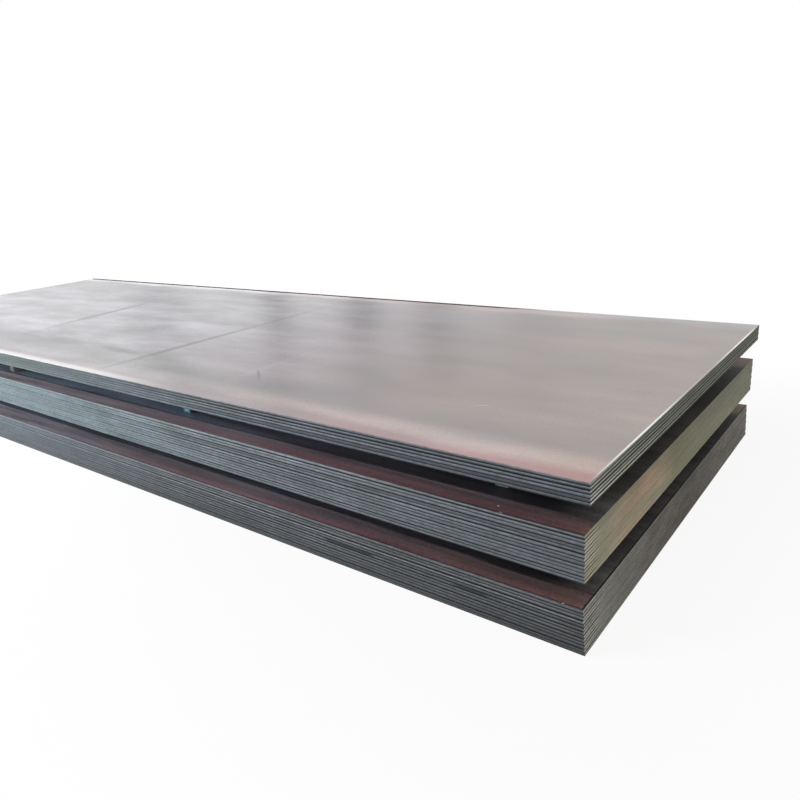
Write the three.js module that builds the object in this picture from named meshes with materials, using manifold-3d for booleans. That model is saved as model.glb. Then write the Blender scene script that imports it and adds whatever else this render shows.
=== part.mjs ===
// A stack of heavy steel plate, stored flat. Sheared plates lie in three packs, and rows of
// timber set on edge keep the packs apart, so that slings or forks can get in between.
// Millimetres. +X runs along the plates, +Y across them and +Z up. The origin is on the floor,
// under the middle of the stack.
import * as THREE from "three";
import { mergeVertices } from "three/addons/utils/BufferGeometryUtils.js";
import Module from "manifold-3d";

// One plate, as sheared.
const plateLength = 6000;
const plateWidth = 2000;
const plateThickness = 12;
const rolloverRadius = 1.8; // upper corner, drawn down by the blade
const shearLand = 3.5; // upright band that the blade burnishes below that corner
const tearLean = 0.6; // how far the torn rest of the edge falls back at the underside

// How many plates each pack holds.
const lowerCount = 13;
const middleCount = 13;
const upperCount = 6;

// How the plates lie on each other.
const restGap = 0.3; // air between two faces that rest on each other
const openGap = 0.8; // air where a slight wave in a plate holds a joint open
const slipAlong = 0.5; // farthest that a plate lies off its place along the pack
const slipAcross = 1.5; // farthest that it lies off its place across

// Timbers between the packs, set on edge across the plates.
const timberWidth = 50;
const lowerTimberHeight = 75;
const upperTimberHeight = 100;
const timberSetback = 150; // from the plates' long edges to the timber's ends
const timberArris = 3; // sawn corners, knocked off
const nearOverhang = 362; // from the plates' +X ends to the middle of the first row
const farOverhang = 620; // from the last row to the plates' -X ends

// The packs from the floor up. shift (along, across) and turnDeg tell how far off the middle of
// the stack the crane set the pack down, and lean how far its top plate has crept from its
// bottom one. openAbove lists the plates under an open joint.
const packs = [
  {
    name: "lower", count: lowerCount, openAbove: [10],
    shift: [-3, -10], turnDeg: 0.18, lean: [-5, -4],
  },
  {
    name: "middle", count: middleCount, openAbove: [8, 12],
    shift: [-7, 17], turnDeg: -0.11, lean: [0, -3],
  },
  {
    name: "upper", count: upperCount, openAbove: [3],
    shift: [11, -3], turnDeg: 0, lean: [1, -7],
  },
];

// The timber rows between them. drift and slide say how far each timber lies off its even
// place, along the stack and across it.
const timberRows = [
  { name: "lower", height: lowerTimberHeight, drift: [8, -14, 11, -6], slide: [9, -4, 12, -10] },
  { name: "upper", height: upperTimberHeight, drift: [0, 22, 2, -9], slide: [15, -5, -35, 10] },
];

const wasm = await Module();
wasm.setup();

function solidOf(geometry) {
  const bare = geometry.clone();
  bare.deleteAttribute("normal");
  bare.deleteAttribute("uv");
  const merged = mergeVertices(bare);
  return new wasm.Manifold(new wasm.Mesh({
    numProp: 3,
    vertProperties: Float32Array.from(merged.attributes.position.array),
    triVerts: Uint32Array.from(merged.index.array),
  }));
}

function geometryOf(solid) {
  const { vertProperties, triVerts } = solid.getMesh();
  const geometry = new THREE.BufferGeometry();
  geometry.setAttribute("position", new THREE.BufferAttribute(vertProperties, 3));
  geometry.setIndex(new THREE.BufferAttribute(triVerts, 1));
  return geometry;
}

// Section of a plate that is span wide, standing on the section's x axis.
function shearedSection(span) {
  const side = span / 2;
  const rollStart = plateThickness - rolloverRadius;
  const outline = new THREE.Shape();
  outline.moveTo(tearLean - side, 0);
  outline.lineTo(side - tearLean, 0);
  outline.lineTo(side, rollStart - shearLand);
  outline.lineTo(side, rollStart);
  outline.absarc(side - rolloverRadius, rollStart, rolloverRadius, 0, Math.PI / 2);
  outline.lineTo(rolloverRadius - side, plateThickness);
  outline.absarc(rolloverRadius - side, rollStart, rolloverRadius, Math.PI / 2, Math.PI);
  outline.lineTo(-side, rollStart - shearLand);
  return outline;
}

// A bar of that section, lying along Y and long enough to be cut by the other one.
function shearedBar(span, length) {
  const bar = new THREE.ExtrudeGeometry(shearedSection(span), {
    depth: length,
    bevelEnabled: false,
    curveSegments: 3,
  });
  return bar.rotateX(Math.PI / 2).translate(0, length / 2, 0);
}

// All four edges of a plate are sheared alike, so it is where two such bars cross.
function makePlateGeometry() {
  const along = shearedBar(plateWidth, plateLength).rotateZ(Math.PI / 2);
  const across = shearedBar(plateLength, plateWidth);
  return geometryOf(solidOf(along).intersect(solidOf(across)));
}

function makeTimberGeometry(height) {
  const side = timberWidth / 2 - timberArris;
  const section = new THREE.Shape();
  section.moveTo(-side, timberArris);
  section.lineTo(side, timberArris);
  section.lineTo(side, height - timberArris);
  section.lineTo(-side, height - timberArris);
  const length = plateWidth - 2 * timberSetback;
  const timber = new THREE.ExtrudeGeometry(section, {
    depth: length - 2 * timberArris,
    bevelSize: timberArris,
    bevelThickness: timberArris,
    bevelSegments: 1,
  });
  return timber.rotateX(Math.PI / 2).translate(0, length / 2 - timberArris, 0);
}

const millScale = () =>
  new THREE.MeshStandardMaterial({ color: 0x8f8a8c, roughness: 0.42, metalness: 0.85 });
const sawnTimber = () =>
  new THREE.MeshStandardMaterial({ color: 0x8a7a66, roughness: 0.85, metalness: 0 });

function named(name, geometry, material) {
  const mesh = new THREE.Mesh(geometry, material);
  mesh.name = name;
  return mesh;
}

// A repeatable slip between -most and most that differs from plate to plate.
function slip(most, plateNumber) {
  const turnPerPlate = 2.4;
  return most * Math.sin(turnPerPlate * plateNumber);
}

// Lays a pack's plates from the given level up, and returns the level on top of them.
function layPack(stack, pack, level) {
  const group = new THREE.Group();
  group.position.set(pack.shift[0], pack.shift[1], 0);
  group.rotation.z = THREE.MathUtils.degToRad(pack.turnDeg);
  for (let number = 1; number <= pack.count; number++) {
    const name = `${pack.name}_plate_${String(number).padStart(2, "0")}`;
    const plate = named(name, plateGeometry, millScale());
    const crept = (number - 1) / (pack.count - 1);
    plate.position.set(
      crept * pack.lean[0] + slip(slipAlong, number),
      crept * pack.lean[1] + slip(slipAcross, number + pack.count),
      level,
    );
    group.add(plate);
    level += plateThickness + (pack.openAbove.includes(number) ? openGap : restGap);
  }
  stack.add(group);
  return level;
}

// Sets one layer of timbers down at the given level, and returns the level on top of them.
function layTimbers(stack, row, level) {
  const geometry = makeTimberGeometry(row.height);
  const pitch = (plateLength - nearOverhang - farOverhang) / (row.slide.length - 1);
  row.slide.forEach((slide, index) => {
    const timber = named(`${row.name}_timber_${index + 1}`, geometry, sawnTimber());
    const station = plateLength / 2 - nearOverhang - index * pitch;
    timber.position.set(station + row.drift[index], slide, level);
    stack.add(timber);
  });
  return level + row.height + restGap;
}

const plateGeometry = makePlateGeometry();
const stack = new THREE.Group();
let level = 0;
packs.forEach((pack, index) => {
  level = layPack(stack, pack, level);
  if (index < timberRows.length) level = layTimbers(stack, timberRows[index], level);
});

// The footprint's middle comes to the origin.
const middle = new THREE.Box3().setFromObject(stack).getCenter(new THREE.Vector3());
stack.position.set(-middle.x, -middle.y, 0);

export default stack;
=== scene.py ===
import math
import random

import bmesh
import bpy
from mathutils import Matrix, Vector


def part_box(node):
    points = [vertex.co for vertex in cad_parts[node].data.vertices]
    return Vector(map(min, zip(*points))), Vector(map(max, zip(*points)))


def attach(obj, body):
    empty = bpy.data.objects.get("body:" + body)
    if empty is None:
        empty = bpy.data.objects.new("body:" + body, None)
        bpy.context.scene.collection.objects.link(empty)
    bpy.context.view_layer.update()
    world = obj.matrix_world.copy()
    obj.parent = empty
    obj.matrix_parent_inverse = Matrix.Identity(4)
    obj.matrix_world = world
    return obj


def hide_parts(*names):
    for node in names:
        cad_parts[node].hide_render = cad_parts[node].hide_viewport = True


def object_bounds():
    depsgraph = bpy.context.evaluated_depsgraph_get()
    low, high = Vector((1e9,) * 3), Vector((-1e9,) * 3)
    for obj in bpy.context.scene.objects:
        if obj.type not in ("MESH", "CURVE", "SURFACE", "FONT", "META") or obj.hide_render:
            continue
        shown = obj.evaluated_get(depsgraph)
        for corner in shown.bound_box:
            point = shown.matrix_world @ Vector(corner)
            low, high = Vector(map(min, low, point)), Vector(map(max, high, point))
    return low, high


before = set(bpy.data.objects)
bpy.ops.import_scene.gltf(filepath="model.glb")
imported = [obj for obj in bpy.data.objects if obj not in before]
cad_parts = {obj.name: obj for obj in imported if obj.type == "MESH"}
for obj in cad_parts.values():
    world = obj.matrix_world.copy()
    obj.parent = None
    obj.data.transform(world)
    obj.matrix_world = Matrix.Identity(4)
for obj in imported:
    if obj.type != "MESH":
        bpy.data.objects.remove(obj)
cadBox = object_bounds()
scene = bpy.context.scene
scene.view_settings.view_transform = "Standard"
print("frame loaded with", len(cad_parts), "nodes")


# Small helpers

def linear(hexColour):
    # an sRGB hex value as linear light, opaque
    channels = [int(hexColour[i:i + 2], 16) / 255 for i in (1, 3, 5)]
    return [c / 12.92 if c <= 0.04045 else ((c + 0.055) / 1.055) ** 2.4 for c in channels] + [1.0]


def addNode(tree, kind, inputs=None, stops=None, **settings):
    # inputs take a plain value, another node's output, or the node itself, which then stands for
    # its first output in use, and stops fill a colour ramp
    node = tree.nodes.new("ShaderNode" + kind)
    for name, value in settings.items():
        setattr(node, name, value)
    for name, value in (inputs or {}).items():
        if isinstance(value, bpy.types.Node):
            value = next(output for output in value.outputs if output.enabled)
        if isinstance(value, bpy.types.NodeSocket):
            tree.links.new(value, node.inputs[name])
        else:
            node.inputs[name].default_value = value
    if stops:
        elements = node.color_ramp.elements
        while len(elements) < len(stops):
            elements.new(1)
        for element, (position, colour) in zip(elements, stops):
            element.position = position
            element.color = linear(colour)
    return node


def newMaterial(name):
    material = bpy.data.materials.new(name)
    material.use_nodes = True
    material.node_tree.nodes.clear()
    return material, material.node_tree


def finishMaterial(material, tree, shader):
    addNode(tree, "OutputMaterial", {"Surface": shader})
    return material


def makeObject(bm, name, materials):
    # puts a finished bmesh into the scene and frees it
    mesh = bpy.data.meshes.new(name)
    bm.to_mesh(mesh)
    bm.free()
    for material in materials:
        mesh.materials.append(material)
    made = bpy.data.objects.new(name, mesh)
    scene.collection.objects.link(made)
    return made


def everyPart(bm):
    return bm.verts[:] + bm.edges[:] + bm.faces[:]


# Camera, where the stack is seen from

view = {
    "place": (3.685, -2.631, 1.404),
    "heading": 38.81,  # degrees left of +Y
    "down": 18.41,
    "roll": -4.18,
    "lens": 31.36,  # in millimetres, as the sensor is
    "sensor": 36,
    "farthest": 200,
}


def addCamera():
    camera = bpy.data.objects.new("camera", bpy.data.cameras.new("camera"))
    camera.data.sensor_width = view["sensor"]
    camera.data.lens = view["lens"]
    camera.data.clip_end = view["farthest"]
    turn = Matrix.Rotation(math.radians(view["heading"]), 4, "Z")
    tilt = Matrix.Rotation(math.radians(90 - view["down"]), 4, "X")
    roll = Matrix.Rotation(math.radians(view["roll"]), 4, "Z")
    camera.matrix_world = Matrix.Translation(view["place"]) @ turn @ tilt @ roll
    scene.collection.objects.link(camera)
    scene.camera = camera


addCamera()
print("camera set")


# Studio: pale floor, white surround, a long soft lamp over the near side, a low broad one beyond
# its far end and another facing the near end

studio = {
    "fill": 0.35,  # what the surround gives matt surfaces
    # aim is a point on the floor plan, heading is in degrees from -Y towards -X, height in degrees
    # above the floor, and sizes are in metres
    "lamps": {
        "long soft lamp": {"aim": (-2.3, -1.0), "heading": 0, "height": 47, "distance": 4.6,
                           "size": (5.0, 0.14), "power": 300, "colour": "#FFFFFF"},
        "low broad lamp": {"aim": (-1.5, -1.0), "heading": 40, "height": 20, "distance": 2.9,
                           "size": (2.0, 0.9), "power": 140, "colour": "#F0F6FF"},
        "end lamp": {"aim": (3.0, 0.0), "heading": -75, "height": 24, "distance": 4.5,
                     "size": (3.0, 2.0), "power": 85, "colour": "#FFFDF8"},
    },
    # soft dim posts that only show in the sheen: degrees left of +Y, half width, share taken off
    "posts": [(57.3, 3.5, 0.34), (48.4, 1.9, 0.60), (41.5, 2.7, 0.50), (35.3, 3.0, 0.40),
              (27.4, 3.5, 0.14)],
    "postTops": (11, 17),  # degrees up, where they start to fade and are gone
    "floorSize": 60,
    "floorColour": "#EDEDEB",
    "floorGlow": 0.90,  # share of the floor that is seen as plain white beside the stack
    "clearTo": 1.6,  # metres from the stack where all of it is
}


def addWorld():
    world = bpy.data.worlds.new("white surround")
    world.use_nodes = True
    tree = world.node_tree
    tree.nodes.clear()
    path = addNode(tree, "LightPath")
    seen = addNode(tree, "Math", {0: path.outputs["Is Camera Ray"], 1: path.outputs["Is Glossy Ray"]},
                   operation="MAXIMUM")
    seen = addNode(tree, "Math", {0: seen, 1: path.outputs["Is Transmission Ray"]}, operation="MAXIMUM")
    strength = addNode(tree, "MapRange", {"Value": seen, "To Min": studio["fill"], "To Max": 1})
    ray = addNode(tree, "TexCoord")
    axes = addNode(tree, "SeparateXYZ", {0: ray.outputs["Generated"]})
    leftwards = addNode(tree, "Math", {0: axes.outputs["X"], 1: -1}, operation="MULTIPLY")
    heading = addNode(tree, "Math", {0: leftwards, 1: axes.outputs["Y"]}, operation="ARCTAN2")
    fades = [math.sin(math.radians(height)) for height in studio["postTops"]]
    low = addNode(tree, "MapRange", {"Value": axes.outputs["Z"], "From Min": fades[0], "From Max": fades[1],
                                     "To Min": 1, "To Max": 0}, interpolation_type="SMOOTHSTEP")
    mirrored = addNode(tree, "Math", {0: low, 1: path.outputs["Is Glossy Ray"]}, operation="MULTIPLY")
    for centre, halfWidth, share in studio["posts"]:
        off = addNode(tree, "Math", {0: heading, 1: math.radians(centre)}, operation="SUBTRACT")
        off = addNode(tree, "Math", {0: off}, operation="ABSOLUTE")
        post = addNode(tree, "MapRange", {"Value": off, "From Max": math.radians(halfWidth),
                                          "To Min": -share, "To Max": 0},
                       interpolation_type="SMOOTHSTEP")
        strength = addNode(tree, "Math", {0: post, 1: mirrored, 2: strength}, operation="MULTIPLY_ADD")
    white = addNode(tree, "Background", {"Color": (1, 1, 1, 1), "Strength": strength})
    addNode(tree, "OutputWorld", {"Surface": white})
    scene.world = world


def addLamp(name, settings):
    data = bpy.data.lights.new(name, "AREA")
    data.shape = "RECTANGLE"
    data.size, data.size_y = settings["size"]
    data.energy = settings["power"]
    data.color = linear(settings["colour"])[:3]
    lamp = bpy.data.objects.new(name, data)
    lamp.visible_camera = False
    rise, turn = math.radians(settings["height"]), math.radians(settings["heading"])
    aim = Vector((*settings["aim"], cadBox[1][2] / 2))
    away = Vector((-math.sin(turn) * math.cos(rise), -math.cos(turn) * math.cos(rise), math.sin(rise)))
    lamp.location = aim + away * settings["distance"]
    lamp.rotation_euler = away.to_track_quat("Z", "Y").to_euler()
    scene.collection.objects.link(lamp)


def addFloor():
    material, tree = newMaterial("pale_studio_floor")
    path = addNode(tree, "LightPath")
    seen = addNode(tree, "Math", {0: path.outputs["Is Camera Ray"], 1: path.outputs["Is Glossy Ray"]},
                   operation="MAXIMUM")
    place = addNode(tree, "TexCoord")
    beyond = addNode(tree, "VectorMath", {0: place.outputs["Object"]}, operation="ABSOLUTE")
    beyond = addNode(tree, "VectorMath", {0: beyond, 1: (cadBox[1][0], cadBox[1][1], 0)},
                     operation="SUBTRACT")
    beyond = addNode(tree, "VectorMath", {0: beyond, 1: (0, 0, 0)}, operation="MAXIMUM")
    distance = addNode(tree, "VectorMath", {0: beyond}, operation="LENGTH")
    glow = addNode(tree, "MapRange", {"Value": distance, "From Max": studio["clearTo"],
                                      "To Min": studio["floorGlow"], "To Max": 1},
                   interpolation_type="SMOOTHSTEP")
    share = addNode(tree, "Math", {0: seen, 1: glow}, operation="MULTIPLY")
    paint = addNode(tree, "BsdfDiffuse", {"Color": linear(studio["floorColour"])})
    white = addNode(tree, "Emission", {"Color": (1, 1, 1, 1), "Strength": 1.0})
    mixed = addNode(tree, "MixShader", {0: share, 1: paint, 2: white})
    finishMaterial(material, tree, mixed)
    bm = bmesh.new()
    bmesh.ops.create_grid(bm, x_segments=1, y_segments=1, size=studio["floorSize"] / 2)
    floor = makeObject(bm, "floor", [material])


addWorld()
for name, settings in studio["lamps"].items():
    addLamp(name, settings)
addFloor()
print("studio lit")


# Plates: their shape

plate = {
    "length": 6.0,
    "width": 2.0,
    "thickness": 0.012,
    "rollover": 0.0018,  # the long edges' upper corner, drawn down by the blade
    "land": 0.0035,  # the burnished band below it
    "tearLean": 0.0006,  # how far the torn metal below it draws in
    # the same at the packs' ends, where paint has filled the two lower packs' lines
    "endRollovers": {"lower": 0.0003, "middle": 0.0003, "upper": 0.0018},
    "endLeans": {"lower": 0.0, "middle": 0.0, "upper": 0.0006},
    "topRollover": 0.0011,  # the top plate's ends, worn by what is dragged over them
    "bevelSteps": 4,
    "hair": 1e-6,  # points nearer to a plane than this lie in it
    # the slot named dirt holds the dark band along the top plate's far edge
    "slots": {"face": 0, "long edge": 1, "end": 2, "bare steel": 3, "dirt": 4},
}
# how far the top plate's ends are rubbed bright, from the near corner to the far one
rubbedAlong = [(0.0, "#000000"), (0.1, "#D1D1D1"), (0.2, "#FFFFFF"), (0.3, "#D9D9D9"), (0.42, "#767676"),
               (0.6, "#616161"), (0.8, "#F5F5F5"), (0.9, "#FFFFFF"), (0.975, "#000000")]
# a dark band along the top plate's far edge, from the -X end: how far across from the middle it
# starts, and how far along it starts to taper and ends
farDarkBand = {"from": 0.965, "tapers": (1.60, 1.90)}
# how pale each plate's edge is, from the bottom plate up: partly the tone it came off the shear
# with, partly painted light and shade where a plate stands out or is set back
plateTonesAndLight = {
    "lower": [0.77, 0.75, 0.92, 0.95, 1.03, 1.12, 1.1, 1.1, 0.85, 1.9, 1.45, 1.05, 1.2],
    "middle": [1.0, 0.95, 0.95, 0.92, 1.03, 0.87, 0.97, 1.1, 1.05, 0.66, 1.15, 1.3, 1.3],
    "upper": [0.97, 0.57, 1.28, 1.15, 1.08, 0.9],
}
# how many steps wider than usual, or narrower where it is below 0, the shade under each plate is
jointShades = {
    "lower": [0.0, 0.0, -1.0, 0.0, 0.3, -0.8, 1.2, 0.0, 0.0, 1.8, 0.5, 0.6, 0.3],
    "middle": [0.0, 0.5, -2.2, -1.4, -0.5, -2.2, 0.1, -1.5, 0.8, 0.0, -1.6, 0.0, 1.3],
    "upper": [0.0, -1.6, 0.0, 1.3, 1.2, 1.8],
}


# Materials of the plates' faces. Ramps along a plate run from its -X end (0) to its +X end (1).

scaleColours = {
    "pale grey": "#B2ADB7",
    "light grey": "#A09EA5",
    "grey": "#8E8B8D",
    "stone": "#77757A",
    "mauve": "#8D7A83",
    "mauve grey": "#7E7079",
    "dark mauve": "#5A4A55",
    "bright rose": "#E0D5DB",
    "shell": "#B39C94",
    "pale rose": "#AE958E",
    "rosy grey": "#9E8582",
    "tan": "#B18C7C",
    "pale brown": "#836B5C",
    "brown": "#7A6256",
    "dark brown": "#66504B",
    "dull red": "#8E5A5C",
    "orange rust": "#963F34",
    "pale slate": "#9BABC0",
    "dull slate": "#687483",
    "dim slate": "#626572",
    "deep slate": "#555A62",
    "ink": "#414A59",
    "violet slate": "#605A61",
    "wine": "#73545B",
    "dull wine": "#684C52",
    "warm umber": "#71534E",
    "dark wine": "#3B2D30",
    "heather": "#787280",
    "rosy ash": "#70666A",
    "dusk": "#57525A",
    "pale plum": "#66565B",
    "plum": "#5A4E55",
    "dark plum": "#514648",
    "umber": "#5A4846",
    "dark umber": "#504241",
    "brown rust": "#584240",
    "charcoal": "#3A3E47",
    "painted far-edge highlight": "#F2EEF3",
    "painted gap shade": "#23242A",
    "far band black brown": "#382D2C",
    "painted deep shade": "#2A2827",
    "ash": "#423F3D",
    "painted end light": "#5C5A58",
    "shade": "#33373A",
}
# what a look has unless it says otherwise
plainScale = {"wander": 0.0, "streak": (0.9, 4.0, 1.0), "calm": None, "worn": 0.0, "endStrip": None,
              "ior": 1.45}
# what the faces in the gaps share, and their strips deep inside: the first two are painted shade under
# the pack above, the first bluer towards the -X end and paler at the +X end for light coming in
# there; the last is a rusty brown band near the far edge
coveredScale = {"wander": 0.02, "mottle": 0.5, "weights": (1.2, 0.3, 0.6), "streak": (1.2, 28.0, 1.0),
                "roughness": 0.6}
deepStrips = [
    (0.2, 0.4, {0.6: "ink", 0.85: "painted deep shade", 0.97: "painted deep shade", 1.0: "ash"}),
    (1.0, 1.3, {0.0: "painted deep shade", 1.0: "painted deep shade"}),
    (1.80, 1.87, {0.9: "brown rust", 1.0: "brown"}),
]
rolledLooks = {
    # strips run along the plate, each laid over the one before it: metres in from the near long
    # edge where it starts and where it is full, and its ramp along the plate. The first lies
    # everywhere. wander is how far their edges wander, and mottle how far the noises change the
    # tone. weights are those of the streaks, the patches and the grain, and streak holds the
    # streaks' changes for each metre. calm says from where to where along the plate that mottle
    # fades, and how much of it goes. worn says how far the scale is rubbed off the long edges
    # towards the -X end, and off the ends. endStrip is the ends' own strip, its width and colour.
    "open": {
        # towards the -X end the top turns greyer and paler, partly the scale's own tone and partly a
        # painted sheen
        "strips": [
            (0.0, 0.0, {0.74: "mauve", 0.85: "dull red", 0.92: "dull red", 1.0: "orange rust"}),
            (0.03, 0.095, {0.6: "grey", 0.78: "rosy grey", 0.93: "shell", 1.0: "tan"}),
            (0.10, 0.20, {0.4: "stone", 0.62: "grey", 0.74: "dark mauve", 1.0: "brown"}),
            (0.27, 0.45, {0.5: "light grey", 0.7: "mauve grey", 0.83: "dark brown", 1.0: "pale brown"}),
            (1.80, 1.90, {0.4: "pale grey", 0.62: "rosy grey", 0.92: "dull red", 1.0: "pale rose"}),
            # a painted highlight along the far edge
            (1.88, 1.91, {0.35: "painted far-edge highlight", 0.5: "bright rose", 0.75: "rosy grey", 1.0: "light grey"}),
        ],
        "wander": 0.04,
        "mottle": 0.6,
        "weights": (0.9, 0.8, 0.32),
        "calm": (0.5, 0.8, 0.2),
        "worn": 0.95,
        "endStrip": (0.0068, "#F0EFEF"),
        "ior": 2.9,
        "roughness": 0.2,
    },
    "far edge": {  # dark, rough and of a low index, so it hardly mirrors: the far edge's dark band
        "strips": [(0.0, 0.0, {0.4: "far band black brown", 0.6: "dark brown", 0.8: "brown"})],
        "mottle": 0.7,
        "weights": (0.9, 0.6, 0.6),
        "streak": (5.0, 4.0, 1.0),
        "ior": 1.1,
        "roughness": 0.9,
    },
    "covered middle": {
        "strips": [
            (0.0, 0.0, {0.88: "violet slate", 0.92: "dark wine"}),
            (0.006, 0.010, {0.55: "violet slate", 0.88: "wine", 0.92: "dull wine", 0.98: "dull wine",
                            1.0: "warm umber"}),
            (0.035, 0.060, {0.6: "violet slate", 0.85: "pale plum", 0.97: "dark umber", 1.0: "umber"}),
            # from here inwards these strips are painted light and shade in the gap under the upper pack:
            # this band's heather carries light past the edge of that pack's shadow, and the next has pale
            # slate for light reaching in towards the -X end, dusk and painted gap shade for the shade
            # towards +X, and a paler grey at the +X end for light coming in there
            (0.065, 0.088, {0.5: "violet slate", 0.6: "heather", 0.72: "violet slate", 0.82: "heather",
                            0.9: "rosy ash", 0.96: "plum"}),
            (0.088, 0.100, {0.4: "dull slate", 0.56: "pale slate", 0.82: "heather", 0.92: "dusk",
                            0.975: "painted gap shade", 1.0: "painted end light"}),
            *deepStrips,
        ],
        **coveredScale,
    },
    "covered lower": {
        "strips": [
            (0.0, 0.0, {0.5: "charcoal", 0.8: "dark wine"}),
            (0.006, 0.010, {0.5: "violet slate", 0.8: "wine", 0.93: "dull wine", 1.0: "warm umber"}),
            (0.022, 0.042, {0.5: "dusk", 0.65: "dark plum", 0.82: "plum", 0.92: "umber",
                            0.98: "dark umber", 1.0: "umber"}),
            # from here inwards these strips are painted light and shade in the gap under the middle pack:
            # slates for light reaching in towards the -X end, dusk and painted gap shade for the shade
            # towards +X, and a paler grey at the +X end for light coming in there
            (0.062, 0.080, {0.72: "dusk", 0.84: "rosy ash", 0.92: "plum", 1.0: "umber"}),
            (0.088, 0.104, {0.5: "deep slate", 0.58: "dim slate", 0.72: "deep slate", 0.83: "dim slate",
                            0.92: "dusk", 0.975: "painted gap shade", 1.0: "painted end light"}),
            *deepStrips,
        ],
        # a near-black line along the lid's ends, darker than any scale on it
        "endStrip": (0.006, "#101012"),
        **coveredScale,
    },
    "buried": {
        "strips": [(0.0, 0.0, {0.0: "shade", 1.0: "shade"})],
        "mottle": 0.4,
        "weights": (0.3, 0.3, 1.0),
        "endStrip": (0.004, "#8A8674"),
        "roughness": 0.7,
    },
}
rolledScale = {
    "straightTo": 0.012,  # strips this near to the edge don't wander
    "patch": (2.5, 6.0, 1.0),  # its changes for each metre
    "slowNoise": {"Scale": 1.0, "Detail": 4},
    "grain": {"Scale": 110, "Detail": 2},  # 9 mm, coarser than real scale, so that it shows
    "spread": 0.3,  # how far the noises reach to each side of their middle
    "wornTo": (0.018, 0.06),  # the rubbed strip is whole up to here and gone from here on
    "wornAlong": (1.3, 0.3),  # it comes up between these, in metres from the middle
    "bareSteel": "#F0EFEF",
    "markCore": 0.3,  # the share of a mark's size inside which it is whole
    "roughnessSwing": 0.15,
    "bump": {"Strength": 0.15, "Distance": 0.0005},
}
# marks on the packs' top faces: middle (x, y), length, width, degrees turned from along the plate,
# and the share of light taken off, or of bare steel laid on where it is below 0
topMarks = {
    "upper": [
        ((-0.992, -0.07), 1.0, 0.100, 98, 0.64),
        ((-0.910, -0.58), 0.5, 0.070, 90, 0.20),
        ((0.462, -0.45), 1.3, 0.080, 89, 0.55),
        ((0.474, 0.10), 2.0, 0.060, 89, 0.36),
        ((1.243, -0.50), 1.0, 0.070, 90, -0.04),
        ((1.311, -0.674), 0.28, 0.018, -40, 0.90),
        ((-0.375, -0.672), 0.5, 0.120, -3, 0.40),
        ((0.160, -0.665), 0.5, 0.100, -3, 0.56),
        ((-0.810, -0.680), 0.5, 0.060, -3, 0.25),
        ((0.657, -0.683), 0.5, 0.110, -3, 0.22),
        ((1.478, -0.770), 0.5, 0.120, -3, 0.16),
        ((2.6, -0.1), 1.8, 0.26, 0, 0.14),
        ((2.414, -0.585), 0.090, 0.010, 25, -0.3),
    ],
    "middle": [((2.703, -0.963), 0.009, 0.010, 0, -0.8), ((2.730, -0.998), 0.020, 0.008, 0, -0.5)],
    # the lower pack's two long marks near its near edge are painted shade: they carry the edge of the
    # middle pack's shadow further out
    "lower": [((2.937, -0.998), 0.010, 0.009, 0, -0.8), ((2.74, -0.915), 0.50, 0.026, 0, 0.8),
              ((2.32, -0.911), 0.60, 0.026, 0, 0.5)],
}


def rolledNoises(tree, look, spot):
    # slow streaks along the rolling with patches among them, the same with fine grain, and the grain
    streaks, patches, grains = look["weights"]
    drawn = addNode(tree, "VectorMath", {0: spot, 1: look["streak"]}, operation="MULTIPLY")
    streak = addNode(tree, "TexNoise", {"Vector": drawn, **rolledScale["slowNoise"]})
    blotched = addNode(tree, "VectorMath", {0: spot, 1: rolledScale["patch"]}, operation="MULTIPLY")
    patch = addNode(tree, "TexNoise", {"Vector": blotched, **rolledScale["slowNoise"]})
    grain = addNode(tree, "TexNoise", {"Vector": spot, **rolledScale["grain"]})
    slow = addNode(tree, "Math", {0: streak, 1: streaks}, operation="MULTIPLY")
    slow = addNode(tree, "Math", {0: patch, 1: patches, 2: slow}, operation="MULTIPLY_ADD")
    mixed = addNode(tree, "Math", {0: grain, 1: grains, 2: slow}, operation="MULTIPLY_ADD")
    return slow, mixed, grain


def spreadAbout(weights):
    # the levels that stand for the least and the most of noises added up with these weights
    middle = sum(weights) / 2
    return {"From Min": middle - rolledScale["spread"], "From Max": middle + rolledScale["spread"]}


def layStrips(tree, look, along, inward, slow):
    wander = addNode(tree, "MapRange", {"Value": slow, "To Min": -look["wander"] / 2,
                                        "To Max": look["wander"] / 2,
                                        **spreadAbout(look["weights"][:2])})
    inside = addNode(tree, "Math", {0: wander, 1: inward}, operation="ADD")
    colour = None
    for start, full, stops in look["strips"]:
        ramp = addNode(tree, "ValToRGB", {"Fac": along},
                       stops=[(place, scaleColours[tint]) for place, tint in stops.items()])
        if colour is None:
            colour = ramp
            continue
        reach = inward if full < rolledScale["straightTo"] else inside
        laid = addNode(tree, "MapRange", {"Value": reach, "From Min": start, "From Max": full},
                       interpolation_type="SMOOTHSTEP")
        colour = addNode(tree, "Mix", {0: laid, 6: colour, 7: ramp}, data_type="RGBA")
    return colour


def layMarks(tree, marks, spot, colour):
    # lines left by rollers, slings and knocks, and painted shade where a mark stands for it
    for (x, y), length, width, turn, share in marks:
        own = addNode(tree, "Mapping", {"Vector": spot, "Location": (x, y, 0),
                                        "Rotation": (0, 0, math.radians(turn)),
                                        "Scale": (length / 2, width / 2, 1.0)}, vector_type="TEXTURE")
        reach = addNode(tree, "VectorMath", {0: own}, operation="LENGTH")
        laid = addNode(tree, "MapRange", {"Value": reach, "From Min": 1.0,
                                          "From Max": rolledScale["markCore"], "To Max": abs(share)},
                       interpolation_type="SMOOTHSTEP")
        tint = (0, 0, 0, 1) if share > 0 else linear(rolledScale["bareSteel"])
        colour = addNode(tree, "Mix", {0: laid, 6: colour, 7: tint}, data_type="RGBA")
    return colour


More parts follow.
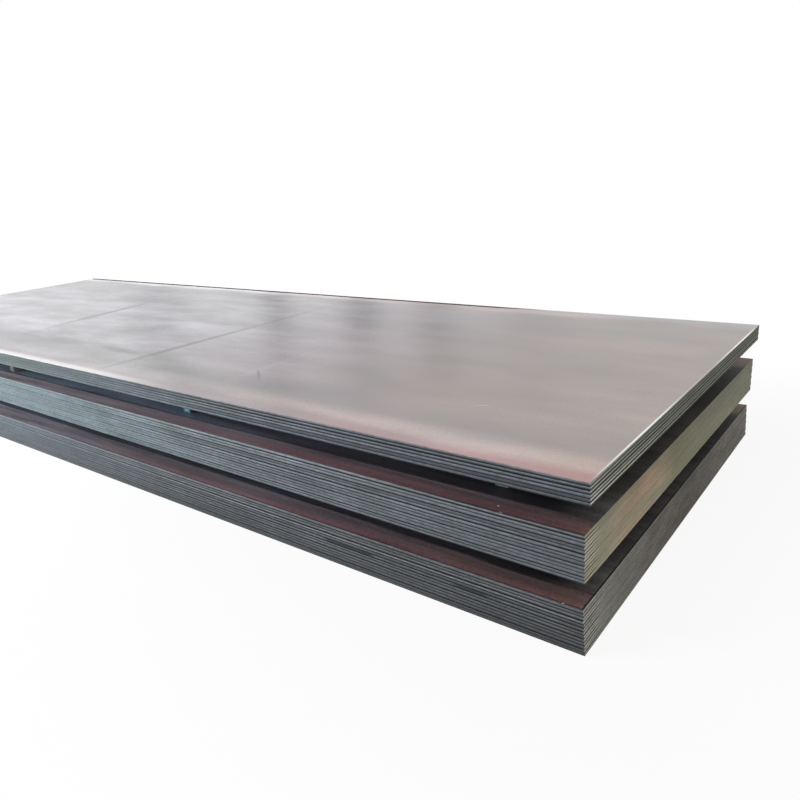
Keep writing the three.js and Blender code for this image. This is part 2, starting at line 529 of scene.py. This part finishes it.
def stripAtEnds(tree, look, axes, inward):
    # where the ends' own strip shows, on worn plates only where they are rubbed
    fromMiddle = addNode(tree, "Math", {0: axes.outputs["X"]}, operation="ABSOLUTE")
    stripFrom = plate["length"] / 2 - look["endStrip"][0]
    atEnd = addNode(tree, "Math", {0: fromMiddle, 1: stripFrom}, operation="GREATER_THAN")
    if look["worn"]:
        across = addNode(tree, "Math", {0: inward, 1: plate["width"]}, operation="DIVIDE")
        rubbed = addNode(tree, "ValToRGB", {"Fac": across}, stops=rubbedAlong)
        atEnd = addNode(tree, "Math", {0: atEnd, 1: rubbed}, operation="MULTIPLY")
    return atEnd


def rubBare(tree, look, axes, atEnd):
    # where scale is rubbed off to bright steel, along the long edges and at the ends
    wornWhole, wornGone = rolledScale["wornTo"]
    wornFrom, wornFull = rolledScale["wornAlong"]
    fromMiddle = addNode(tree, "Math", {0: axes.outputs["Y"]}, operation="ABSOLUTE")
    nearEdge = addNode(tree, "MapRange", {
        "Value": fromMiddle, "From Min": plate["width"] / 2 - wornGone,
        "From Max": plate["width"] / 2 - wornWhole, "To Max": look["worn"],
    }, interpolation_type="SMOOTHSTEP")
    leftPart = addNode(tree, "MapRange", {"Value": axes.outputs["X"], "From Min": wornFrom,
                                          "From Max": wornFull}, interpolation_type="SMOOTHSTEP")
    worn = addNode(tree, "Math", {0: nearEdge, 1: leftPart}, operation="MULTIPLY")
    endWorn = addNode(tree, "Math", {0: atEnd, 1: look["worn"]}, operation="MULTIPLY")
    worn = addNode(tree, "Math", {0: worn, 1: endWorn}, operation="MAXIMUM")
    return worn


def rolledFaceMaterial(name, look, marks=()):
    # Hot-rolled mill scale: a thin glossy grey oxide over dull red-brown iron oxide. Magnetite and
    # haematite have a high index, so the scale mirrors a pale surround when it is seen low.
    look = {**plainScale, **look}
    material, tree = newMaterial(name)
    spot = addNode(tree, "Attribute", attribute_name="onPlate").outputs["Vector"]
    axes = addNode(tree, "SeparateXYZ", {0: spot})
    along = addNode(tree, "MapRange", {"Value": axes.outputs["X"], "From Min": -plate["length"] / 2,
                                       "From Max": plate["length"] / 2})
    inward = addNode(tree, "Math", {0: axes.outputs["Y"], 1: plate["width"] / 2}, operation="ADD")
    slow, mixed, grain = rolledNoises(tree, look, spot)
    fromTo = spreadAbout(look["weights"])
    tone = addNode(tree, "MapRange", {"Value": mixed, "To Min": 1 - look["mottle"],
                                      "To Max": 1 + look["mottle"], **fromTo})
    if look["calm"]:
        calmFrom, calmTo, calmed = look["calm"]
        calm = addNode(tree, "MapRange", {"Value": along, "From Min": calmFrom, "From Max": calmTo,
                                          "To Max": calmed})
        tone = addNode(tree, "Mix", {0: calm, 2: tone, 3: 1.0})
    colour = layStrips(tree, look, along, inward, slow)
    colour = addNode(tree, "Mix", {0: 1.0, 6: colour, 7: tone}, data_type="RGBA", blend_type="MULTIPLY")
    colour = layMarks(tree, marks, spot, colour)
    metallic = 0.0
    if look["endStrip"]:
        atEnd = stripAtEnds(tree, look, axes, inward)
        colour = addNode(tree, "Mix", {0: atEnd, 6: colour, 7: linear(look["endStrip"][1])},
                         data_type="RGBA")
    if look["worn"]:
        metallic = rubBare(tree, look, axes, atEnd)
        colour = addNode(tree, "Mix", {0: metallic, 6: colour, 7: linear(rolledScale["bareSteel"])},
                         data_type="RGBA")
    swing = rolledScale["roughnessSwing"]
    roughness = addNode(tree, "MapRange", {"Value": mixed, "To Min": look["roughness"] * (1 - swing),
                                           "To Max": look["roughness"] * (1 + swing), **fromTo})
    bump = addNode(tree, "Bump", {"Height": grain, **rolledScale["bump"]})
    shader = addNode(tree, "BsdfPrincipled", {"Base Color": colour, "Metallic": metallic,
                                              "Roughness": roughness, "IOR": look["ior"],
                                              "Normal": bump})
    return finishMaterial(material, tree, shader)


topFaces = {pack: rolledFaceMaterial("mill_scale_on_the_" + pack + "_pack",
                                     rolledLooks["open" if pack == "upper" else "covered " + pack],
                                     marks)
            for pack, marks in topMarks.items()}
buriedFace = rolledFaceMaterial("mill_scale_between_plates", rolledLooks["buried"])
farDarkBandFace = rolledFaceMaterial("dark_band_along_the_far_edge", rolledLooks["far edge"])
print("rolled faces made")


# Materials of the plates' edges. Their tints run from the -X end to the +X end on long edges,
# and from the near corner to the far one on the ends, where they are partly the ends' own
# colours and partly painted light: paler towards the corners, most at the near one, darker between.

# what a look has unless it says otherwise
plainEdge = {"evened": 0.0, "joints": 0.0, "grain": 0.35, "palerLow": 0.0, "darker": [],
             "filled": False}
edgeLooks = {
    # blotches are a second ramp and the size of its patches, along and up. lost says how the
    # plates' lines go under dirt: whole at the first place along the edge, this share gone at the
    # second. evened is how far the plates' own tones and joints go under it everywhere, and
    # joints is added to the joints' shades. grain is how far the grain shows, and palerLow how
    # much paler the pack's foot is than its middle, a painted light, darker where it is below 0.
    # cap is its topmost corner; on the long edges it is mostly paler than the edge under it, a
    # painted highlight along the rolled corner. darker lists stretches of plates made darker:
    # their first and last plate, where they start and end, how far their ends fade, and the share
    # taken off their tone, or added where it is below 0. filled says that paint has run over the
    # joints. Places are in metres from the edge's middle.
    "lower long": {
        "axis": "X", "tints": [(0.4, "#5A6268"), (0.55, "#5D6469"), (0.8, "#676B71"), (1.0, "#5F6265")],
        "blotches": [(0.5, "#576267"), (0.8, "#5B5E62")], "blotchSize": (0.2, 0.06),
        "palerLow": -0.07, "lost": (1.8, -0.4, 0.5),
        "cap": [(0.5, "#666A6E"), (0.9, "#666A6D"), (0.97, "#544C4B")],
        "darker": [(8, 8, 1.95, 2.22, 0.04, 0.75), (8, 8, 2.53, 2.7, 0.04, 0.7),
                   (1, 4, 0.3, 1.9, 0.5, 0.13)],
    },
    "middle long": {
        "axis": "X", "tints": [(0.42, "#76838A"), (0.56, "#818F97"), (1.0, "#747880")],
        "blotches": [(0.5, "#6A7E80"), (0.8, "#6C7277")], "blotchSize": (0.25, 0.06),
        "lost": (1.8, 0.0, 0.75),
        "cap": [(0.5, "#6A7478"), (0.65, "#80888E"), (0.88, "#80888E"), (0.93, "#3A3438")],
    },
    "upper long": {
        "axis": "X", "tints": [(0.45, "#5E696C"), (0.65, "#747E8A"), (1.0, "#6A7079")],
        "blotches": [(0.5, "#5E706E"), (0.8, "#62686F")], "blotchSize": (0.2, 0.04),
        "lost": (1.8, 0.0, 0.75), "cap": [(0.5, "#D0CECE"), (0.75, "#ACA3A7"), (1.0, "#AE9F9E")],
        # plates 1 and 2 are made darker towards the +X end: painted shade
        "darker": [(3, 4, -4.0, 1.4, 0.6, 0.15), (1, 2, 2.0, 4.0, 0.3, 0.11),
                   (5, 6, 1.2, 4.0, 0.3, -0.08)],
    },
    "lower end": {
        "axis": "Y", "tints": [(0.0, "#9A9B92"), (0.05, "#989990"), (0.1, "#807F75"), (0.3, "#564B40"),
                               (0.52, "#3A3128"), (0.8, "#746B61"), (1.0, "#858178")],
        "blotches": [(0.0, "#878780"), (0.5, "#535047")], "blotchSize": (0.12, 0.04),
        "evened": 0.6, "lost": (-0.93, -0.86, 0.96), "cap": [(0.1, "#7E7C76"), (0.5, "#56524C")],
    },
    "middle end": {
        "axis": "Y", "tints": [(0.0, "#B6B4A6"), (0.06, "#A39F88"), (0.2, "#B3997C"), (0.26, "#C1A487"),
                               (0.32, "#B59F81"), (0.4, "#807A5E"), (1.0, "#8E8F7B")],
        "blotches": [(0.0, "#948E78"), (0.5, "#7C8069")], "blotchSize": (0.35, 0.08),
        "evened": 0.9, "grain": 0.12, "palerLow": 0.2,
        "lost": (-0.96, -0.88, 0.96), "cap": [(0.3, "#827C68"), (0.6, "#6C6C58")], "filled": True,
    },
    "upper end": {
        "axis": "Y", "tints": [(0.0, "#9C9E96"), (0.15, "#75796B"), (0.5, "#5C5C4B"), (1.0, "#6A6558")],
        "blotches": [(0.0, "#8A8D82"), (0.3, "#666E5C")], "blotchSize": (0.15, 0.04),
        "evened": 0.85, "joints": 2.0, "grain": 0.3, "palerLow": 0.2,
        "lost": (-1.0, 1.0, 0.0), "cap": [(0.0, "#6E6E66"), (1.0, "#62625A")],
        "darker": [(1, 2, -2.0, -0.1, 0.5, -0.4)],
    },
}
# bands up a sheared edge: joint shade, torn metal, burnished land, and the corner rolled over,
# dark with painted shade from the joint above
edgeBands = [(0.0, "#202020"), (0.08, "#484848"), (0.16, "#B4B4B4"), (0.35, "#C8C8C8"),
             (0.46, "#F0F0F0"), (0.82, "#FFFFFF"), (0.88, "#505050"), (0.94, "#202020")]
# bands where paint has run together over the joints and stands up a little, paler at the joints:
# partly the paint, partly painted light that offsets the joints' shade
filledLitBands = [(0.0, "#F4F4F4"), (0.1, "#C8C8C8"), (0.9, "#C8C8C8"), (1.0, "#F4F4F4")]
edgeScale = {
    "bandsMean": "#C8C8C8",  # what the bands come to where dirt hides them
    "grain": (36, 110),  # 28 mm along and 9 mm up, coarser than real shear marks, so that it shows
    "grainNoise": {"Scale": 1.0, "Detail": 4, "Roughness": 0.65},
    "grainBump": {"Strength": 0.5, "Distance": 0.0004},
    "patchNoise": {"Scale": 1.0, "Detail": 3},
    "blotchTone": 0.15,
    "blotchFrom": (0.42, 0.62),  # levels of the patches' noise where blotches start and are whole
    "noiseFrom": (0.3, 0.7),  # levels of the noises that stand for the least and the most tone
    # shares of a plate's thickness: where on the topmost one the cap starts and is whole, one step
    # of the joints' shades, and how high they can reach
    "capFrom": (0.80, 0.88),
    "jointStep": 0.12,
    "jointsUpTo": 0.5,
    "ior": 1.4,
    "roughness": (0.6, 0.8),
}


def edgeNoises(tree, look, run, up, number):
    # blotches that cross the plates, and fine grain on each
    onPack = addNode(tree, "CombineXYZ", {0: run, 1: up})
    onPack = addNode(tree, "VectorMath", {0: onPack, 1: (*look["blotchSize"], 1)}, operation="DIVIDE")
    patch = addNode(tree, "TexNoise", {"Vector": onPack, **edgeScale["patchNoise"]})
    fineRun = addNode(tree, "Math", {0: run, 1: edgeScale["grain"][0]}, operation="MULTIPLY")
    fineUp = addNode(tree, "Math", {0: up, 1: edgeScale["grain"][1]}, operation="MULTIPLY")
    fine = addNode(tree, "CombineXYZ", {0: fineRun, 1: fineUp, 2: number})
    grain = addNode(tree, "TexNoise", {"Vector": fine, **edgeScale["grainNoise"]})
    return patch, grain


def plateLines(tree, look, level, lost):
    # the bands up each edge and the joint under it, as far as dirt leaves them
    jointShade = addNode(tree, "Attribute", attribute_name="jointShade")
    wider = addNode(tree, "Math", {0: jointShade.outputs["Fac"], 1: 1 - look["evened"],
                                   2: look["joints"]}, operation="MULTIPLY_ADD")
    lowPart = addNode(tree, "Math", {0: level, 1: edgeScale["jointsUpTo"]}, operation="LESS_THAN")
    wider = addNode(tree, "Math", {0: wider, 1: lowPart}, operation="MULTIPLY")
    shadedTo = addNode(tree, "Math", {0: wider, 1: -edgeScale["jointStep"], 2: level},
                       operation="MULTIPLY_ADD")
    bands = addNode(tree, "ValToRGB", {"Fac": shadedTo}, stops=edgeBands)
    under = linear(edgeScale["bandsMean"])
    if look["filled"]:
        under = addNode(tree, "ValToRGB", {"Fac": level}, stops=filledLitBands)
    lines = addNode(tree, "Mix", {0: lost, 6: bands, 7: under}, data_type="RGBA")
    return lines


def darkenStretches(tree, look, run, number, tone):
    for first, last, start, end, fade, share in look["darker"]:
        onIt = addNode(tree, "Math", {0: number, 1: (first + last) / 2,
                                      2: (last - first) / 2 + 0.5}, operation="COMPARE")
        off = addNode(tree, "Math", {0: run, 1: (start + end) / 2}, operation="SUBTRACT")
        off = addNode(tree, "Math", {0: off}, operation="ABSOLUTE")
        reach = (end - start) / 2
        soft = addNode(tree, "MapRange", {"Value": off, "From Min": reach, "From Max": reach - fade,
                                          "To Max": -share}, interpolation_type="SMOOTHSTEP")
        clear = addNode(tree, "Math", {0: soft, 1: onIt, 2: 1.0}, operation="MULTIPLY_ADD")
        tone = addNode(tree, "Math", {0: tone, 1: clear}, operation="MULTIPLY")
    return tone


def shearedEdgeMaterial(name, look, plates):
    # Sheared steel gone dull: a burnished band under the upper corner, matt torn metal below it,
    # and joints that hold dust and shade.
    look = {**plainEdge, **look}
    material, tree = newMaterial(name)
    place = addNode(tree, "Attribute", attribute_name="onPlate")
    axes = addNode(tree, "SeparateXYZ", {0: place.outputs["Vector"]})
    number = addNode(tree, "Attribute", attribute_name="plateNumber").outputs["Fac"]
    ownToneAndLight = addNode(tree, "Attribute", attribute_name="plateToneAndLight")
    run = axes.outputs[look["axis"]]
    reach = plate["length"] / 2 if look["axis"] == "X" else plate["width"] / 2
    along = addNode(tree, "MapRange", {"Value": run, "From Min": -reach, "From Max": reach})
    level = addNode(tree, "Math", {0: axes.outputs["Z"], 1: plate["thickness"]}, operation="DIVIDE")
    height = addNode(tree, "Math", {0: level, 1: number}, operation="ADD")
    up = addNode(tree, "Math", {0: height, 1: plate["thickness"]}, operation="MULTIPLY")

    # colour: tints, blotches and the plates' lines
    patch, grain = edgeNoises(tree, look, run, up, number)
    blotchFrom, blotchWhole = edgeScale["blotchFrom"]
    stained = addNode(tree, "MapRange", {"Value": patch.outputs["Color"], "From Min": blotchFrom,
                                         "From Max": blotchWhole})
    tint = addNode(tree, "ValToRGB", {"Fac": along}, stops=look["tints"])
    blotches = addNode(tree, "ValToRGB", {"Fac": along}, stops=look["blotches"])
    mottled = addNode(tree, "Mix", {0: stained, 6: tint, 7: blotches}, data_type="RGBA")
    whole, gone, share = look["lost"]
    lost = addNode(tree, "MapRange", {"Value": run, "From Min": whole, "From Max": gone, "To Max": share},
                   interpolation_type="SMOOTHSTEP")
    lines = plateLines(tree, look, level, lost)
    banded = addNode(tree, "Mix", {0: 1.0, 6: mottled, 7: lines}, data_type="RGBA", blend_type="MULTIPLY")
    cap = addNode(tree, "ValToRGB", {"Fac": along}, stops=look["cap"])
    capFrom, capWhole = edgeScale["capFrom"]
    onCap = addNode(tree, "MapRange", {"Value": height, "From Min": plates + capFrom,
                                       "From Max": plates + capWhole})
    capped = addNode(tree, "Mix", {0: onCap, 6: banded, 7: cap}, data_type="RGBA")

    # tone: each plate's own and painted light, then painted light by height, the noises and stretches
    evened = addNode(tree, "MapRange", {"Value": lost, "To Min": look["evened"]})
    tone = addNode(tree, "Mix", {0: evened, 2: ownToneAndLight.outputs["Fac"], 3: 1.0})
    byHeight = addNode(tree, "MapRange", {"Value": height, "From Min": 1, "From Max": plates + 1,
                                          "To Min": 1 + look["palerLow"],
                                          "To Max": 1 - look["palerLow"]})
    tone = addNode(tree, "Math", {0: tone, 1: byHeight}, operation="MULTIPLY")
    least, most = edgeScale["noiseFrom"]
    for noise, swing in ((patch, edgeScale["blotchTone"]), (grain, look["grain"])):
        worked = addNode(tree, "MapRange", {"Value": noise, "From Min": least, "From Max": most,
                                            "To Min": 1 - swing, "To Max": 1 + swing})
        tone = addNode(tree, "Math", {0: tone, 1: worked}, operation="MULTIPLY")
    tone = darkenStretches(tree, look, run, number, tone)
    colour = addNode(tree, "Mix", {0: 1.0, 6: capped, 7: tone}, data_type="RGBA", blend_type="MULTIPLY")
    bump = addNode(tree, "Bump", {"Height": grain, **edgeScale["grainBump"]})
    smoothest, roughest = edgeScale["roughness"]
    roughness = addNode(tree, "MapRange", {"Value": grain, "To Min": smoothest, "To Max": roughest})
    shader = addNode(tree, "BsdfPrincipled", {"Base Color": colour, "Roughness": roughness,
                                              "IOR": edgeScale["ior"], "Normal": bump})
    return finishMaterial(material, tree, shader)


rubbedSteel = {
    "brushedBy": (900, 40, 900),  # its changes for each metre, drawn out along the edge
    "brushNoise": {"Scale": 1.0, "Detail": 2},
    "bright": [(0.3, "#E4E2DE"), (0.7, "#FAF9F6")],
    "dull": "#77766F",
    "roughness": (0.2, 0.34),
    "bump": {"Strength": 0.2, "Distance": 0.0001},
}


def bareSteelMaterial():
    # Bare steel where the top plate's end is rubbed bright: brushed along the edge.
    material, tree = newMaterial("rubbed_bare_steel")
    place = addNode(tree, "Attribute", attribute_name="onPlate")
    drawn = addNode(tree, "VectorMath", {0: place.outputs["Vector"], 1: rubbedSteel["brushedBy"]},
                    operation="MULTIPLY")
    brushed = addNode(tree, "TexNoise", {"Vector": drawn, **rubbedSteel["brushNoise"]})
    bright = addNode(tree, "ValToRGB", {"Fac": brushed}, stops=rubbedSteel["bright"])
    axes = addNode(tree, "SeparateXYZ", {0: place.outputs["Vector"]})
    across = addNode(tree, "MapRange", {"Value": axes.outputs["Y"], "From Min": -plate["width"] / 2,
                                        "From Max": plate["width"] / 2})
    rubbed = addNode(tree, "ValToRGB", {"Fac": across}, stops=rubbedAlong)
    colour = addNode(tree, "Mix", {0: rubbed, 6: linear(rubbedSteel["dull"]), 7: bright}, data_type="RGBA")
    smoothest, roughest = rubbedSteel["roughness"]
    roughness = addNode(tree, "MapRange", {"Value": brushed, "To Min": smoothest, "To Max": roughest})
    bump = addNode(tree, "Bump", {"Height": brushed, **rubbedSteel["bump"]})
    shader = addNode(tree, "BsdfPrincipled", {"Base Color": colour, "Metallic": 1.0,
                                              "Roughness": roughness, "Normal": bump})
    return finishMaterial(material, tree, shader)


edges = {name: shearedEdgeMaterial("sheared_" + name.replace(" ", "_"), look,
                                   len(plateTonesAndLight[name.split()[0]]))
         for name, look in edgeLooks.items()}
bareSteel = bareSteelMaterial()
print("edges made")


# Plates

def layOf(name):
    # a plate's size, and the matrix that sets a plate made flat at the origin where its solid is
    points = [v.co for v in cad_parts[name].data.vertices]
    nearRight = max(points, key=lambda p: p.x - p.y)
    farRight = max(points, key=lambda p: p.x + p.y)
    nearLeft = min(points, key=lambda p: p.x + p.y)
    low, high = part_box(name)
    size = Vector(((nearRight - nearLeft).xy.length, (farRight - nearRight).xy.length, high.z - low.z))
    across = farRight - nearRight
    turn = math.atan2(-across.x, across.y)
    middle = (low + high) / 2
    return size, Matrix.Translation((middle.x, middle.y, low.z)) @ Matrix.Rotation(turn, 4, "Z")


def rollOver(bm, size, axis, radius):
    # rounds the upper corner of the two edges that face along the axis
    hair = plate["hair"]
    rim = [e for e in bm.edges if all(v.co.z > size.z - hair for v in e.verts)
           and abs(e.verts[0].co[axis] - e.verts[1].co[axis]) < hair
           and abs(e.verts[0].co[axis]) > size[axis] / 2 - hair]
    rounded = bmesh.ops.bevel(bm, geom=rim, offset=radius, offset_type="OFFSET", affect="EDGES",
                              segments=plate["bevelSteps"], profile=0.5, material=-1)
    return rounded["faces"]


def layFarDarkBand(bm, size):
    # cuts the far edge's band out of the upper face
    bmesh.ops.bisect_plane(bm, geom=everyPart(bm), plane_co=(0, farDarkBand["from"], 0), plane_no=(0, 1, 0))
    band = [f for f in bm.faces if f.normal.z > 0.5 and f.calc_center_median().y > farDarkBand["from"]]
    starts, ends = farDarkBand["tapers"]
    parts = set(band) | {e for f in band for e in f.edges} | {v for f in band for v in f.verts}
    cut = bmesh.ops.bisect_plane(bm, geom=list(parts), plane_co=(starts, farDarkBand["from"], 0),
                                 plane_no=(size.y / 2 - farDarkBand["from"], starts - ends, 0))
    for part in cut["geom"]:
        if isinstance(part, bmesh.types.BMFace) and part.calc_center_median().x < starts:
            part.material_index = plate["slots"]["dirt"]


def makePlate(name, pack, number, isLid, isTop):
    size, place = layOf(name)
    slots = plate["slots"]
    bm = bmesh.new()
    bmesh.ops.create_cube(bm, size=1)
    bmesh.ops.scale(bm, vec=size, verts=bm.verts)
    bmesh.ops.translate(bm, vec=(0, 0, size.z / 2), verts=bm.verts)
    for face in bm.faces:
        side = max(range(3), key=lambda axis: abs(face.normal[axis]))
        face.material_index = slots[("end", "long edge", "face")[side]]
    bmesh.ops.bisect_plane(bm, geom=everyPart(bm), plane_no=(0, 0, 1),
                           plane_co=(0, 0, size.z - plate["rollover"] - plate["land"]))
    for vert in bm.verts:
        if vert.co.z < plate["hair"]:
            vert.co.x -= math.copysign(plate["endLeans"][pack], vert.co.x)
            vert.co.y -= math.copysign(plate["tearLean"], vert.co.y)
    if isTop:
        layFarDarkBand(bm, size)
    for face in rollOver(bm, size, 1, plate["rollover"]):
        face.smooth = True
        face.material_index = slots["long edge"]
    endRollover = plate["topRollover"] if isTop else plate["endRollovers"][pack]
    for face in rollOver(bm, size, 0, endRollover):
        face.smooth = True
        face.material_index = slots["bare steel" if isTop else "end"]
    onPlate = bm.verts.layers.float_vector.new("onPlate")
    plateNumber = bm.verts.layers.float.new("plateNumber")
    plateToneAndLight = bm.verts.layers.float.new("plateToneAndLight")
    jointShade = bm.verts.layers.float.new("jointShade")
    for vert in bm.verts:
        vert[onPlate] = vert.co
        vert[plateNumber] = number
        vert[plateToneAndLight] = plateTonesAndLight[pack][number - 1]
        vert[jointShade] = jointShades[pack][number - 1]
    bmesh.ops.transform(bm, matrix=place, verts=bm.verts)
    face = topFaces[pack] if isLid else buriedFace
    piece = makeObject(bm, name + "_steel", [face, edges[pack + " long"], edges[pack + " end"],
                                             bareSteel, farDarkBandFace])
    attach(piece, "root")
    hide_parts(name)


for pack, tones in plateTonesAndLight.items():
    for number in range(1, len(tones) + 1):
        isLid = number == len(tones)
        makePlate(f"{pack}_plate_{number:02d}", pack, number, isLid, isLid and pack == "upper")
    print(pack, "pack laid with", len(tones), "plates")


# Timbers

timber = {
    "arris": 0.003,
    "arrisSteps": 2,
    "bays": 24,  # lengths that the sawn faces are cut into, so that they can run a little crooked
    "crook": 0.0012,
    "pithAside": 0.02,  # how far the tree's heart may lie to each side of the middle
    "pithBelow": (0.06, 0.09),  # how far below it
    "ringPitch": 0.0045,
    "bladePitch": 0.009,
    "wavePitch": math.pi / 10,  # a wave texture's own pitch at a scale of 1
    "rings": {"Distortion": 2.5, "Detail": 2, "Detail Scale": 1.5},
    "drawnOut": (1, 0.04, 1),  # how much slower the rings change along the timber
    "blade": {"Distortion": 1.2},
    "dirtNoise": {"Scale": 14, "Detail": 4},
    "wood": [(0.1, "#8C8C8B"), (0.6, "#777778"), (0.95, "#54534F")],
    "dirt": [(0.3, "#6F6A64"), (0.65, "#B8AFA2")],
    "dirtLaid": 0.55,  # how much of the dirt's colour the wood takes
    "paint": [(0.35, "#3F8FA0"), (0.6, "#7CC4CE")],
    "roughness": (0.85, 0.5),  # bare, then painted
    "bump": {"Strength": 0.6, "Distance": 0.0006},
    "dipped": "upper_timber_2",  # its ends are dipped in blue-green marking paint
    "dip": 0.014,
    # how pale some are beside the rest, painted light on faces in shade in the gaps: their ends, the
    # side towards +X and the side towards -X
    "shades": {"upper_timber_1": (4.0, 1.0, 1.0), "upper_timber_3": (1.2, 4.5, 1.2)},
    "seed": 11,
}


def sawnTimberMaterial():
    # Rough-sawn spruce, weathered grey: growth rings on the ends, their drawn-out grain and the
    # blade's marks along the sides.
    material, tree = newMaterial("weathered_sawn_spruce")
    fromPith, toEnd, dipped, shade = (addNode(tree, "Attribute", attribute_name=name)
                                      for name in ("fromPith", "toEnd", "dipped", "shade"))
    drawn = addNode(tree, "VectorMath", {0: fromPith.outputs["Vector"], 1: timber["drawnOut"]},
                    operation="MULTIPLY")
    rings = addNode(tree, "TexWave", {"Vector": drawn,
                                      "Scale": timber["wavePitch"] / timber["ringPitch"],
                                      **timber["rings"]}, wave_type="RINGS", rings_direction="Y")
    blade = addNode(tree, "TexWave", {"Vector": fromPith.outputs["Vector"],
                                      "Scale": timber["wavePitch"] / timber["bladePitch"],
                                      **timber["blade"]}, wave_type="BANDS", bands_direction="Y")
    dirt = addNode(tree, "TexNoise", {"Vector": fromPith.outputs["Vector"], **timber["dirtNoise"]})
    wood = addNode(tree, "ValToRGB", {"Fac": rings.outputs["Fac"]}, stops=timber["wood"])
    grey = addNode(tree, "ValToRGB", {"Fac": dirt}, stops=timber["dirt"])
    weathered = addNode(tree, "Mix", {0: timber["dirtLaid"], 6: wood, 7: grey},
                        data_type="RGBA", blend_type="MULTIPLY")
    # some timbers' faces are made paler here: painted light
    weathered = addNode(tree, "Mix", {0: 1.0, 6: weathered, 7: shade.outputs["Fac"]},
                        data_type="RGBA", blend_type="MULTIPLY")
    atEnd = addNode(tree, "Math", {0: toEnd.outputs["Fac"], 1: timber["dip"]}, operation="LESS_THAN")
    painted = addNode(tree, "Math", {0: atEnd, 1: dipped.outputs["Fac"]}, operation="MULTIPLY")
    paint = addNode(tree, "ValToRGB", {"Fac": dirt}, stops=timber["paint"])
    colour = addNode(tree, "Mix", {0: painted, 6: weathered, 7: paint}, data_type="RGBA")
    sawn = addNode(tree, "Math", {0: rings.outputs["Fac"], 1: blade.outputs["Fac"]}, operation="ADD")
    bump = addNode(tree, "Bump", {"Height": sawn, **timber["bump"]})
    bare, coated = timber["roughness"]
    roughness = addNode(tree, "MapRange", {"Value": painted, "To Min": bare, "To Max": coated})
    shader = addNode(tree, "BsdfPrincipled", {"Base Color": colour, "Roughness": roughness,
                                              "Normal": bump})
    return finishMaterial(material, tree, shader)


sawnTimber = sawnTimberMaterial()


def makeTimber(name, chance):
    low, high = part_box(name)
    size, middle = high - low, (low + high) / 2
    bm = bmesh.new()
    bmesh.ops.create_cube(bm, size=1)
    bmesh.ops.scale(bm, vec=size, verts=bm.verts)
    bmesh.ops.bevel(bm, geom=bm.edges[:], offset=timber["arris"], offset_type="OFFSET",
                    affect="EDGES", segments=timber["arrisSteps"], profile=0.5, material=-1)
    # the sides run a little crooked, always inside the sawn size, and the seats stay flat
    for step in range(1, timber["bays"]):
        station = size.y * (step / timber["bays"] - 0.5)
        cut = bmesh.ops.bisect_plane(bm, geom=everyPart(bm), plane_co=(0, station, 0), plane_no=(0, 1, 0))
        draw = {side: chance.uniform(0, timber["crook"]) for side in (-1, 1)}
        for vert in cut["geom_cut"]:
            if isinstance(vert, bmesh.types.BMVert):
                side = 1 if vert.co.x > 0 else -1
                vert.co.x -= side * draw[side]
    aside, (nearest, deepest) = timber["pithAside"], timber["pithBelow"]
    pith = Vector((chance.uniform(-aside, aside), 0, chance.uniform(-deepest, -nearest)))
    fromPith = bm.verts.layers.float_vector.new("fromPith")
    toEnd = bm.verts.layers.float.new("toEnd")
    dipped = bm.verts.layers.float.new("dipped")
    shade = bm.verts.layers.float.new("shade")
    for vert in bm.verts:
        vert[fromPith] = vert.co - pith
        vert[toEnd] = size.y / 2 - abs(vert.co.y)
        vert[dipped] = name == timber["dipped"]
        onEnd = vert[toEnd] < timber["arris"] / 2
        shades = timber["shades"].get(name, (1.0, 1.0, 1.0))
        vert[shade] = shades[0 if onEnd else 1 if vert.co.x > 0 else 2]
    bmesh.ops.translate(bm, vec=middle, verts=bm.verts)
    piece = makeObject(bm, name + "_spruce", [sawnTimber])
    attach(piece, "root")
    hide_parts(name)


chance = random.Random(timber["seed"])
for name in sorted(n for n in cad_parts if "_timber_" in n):
    makeTimber(name, chance)
print("timbers set")
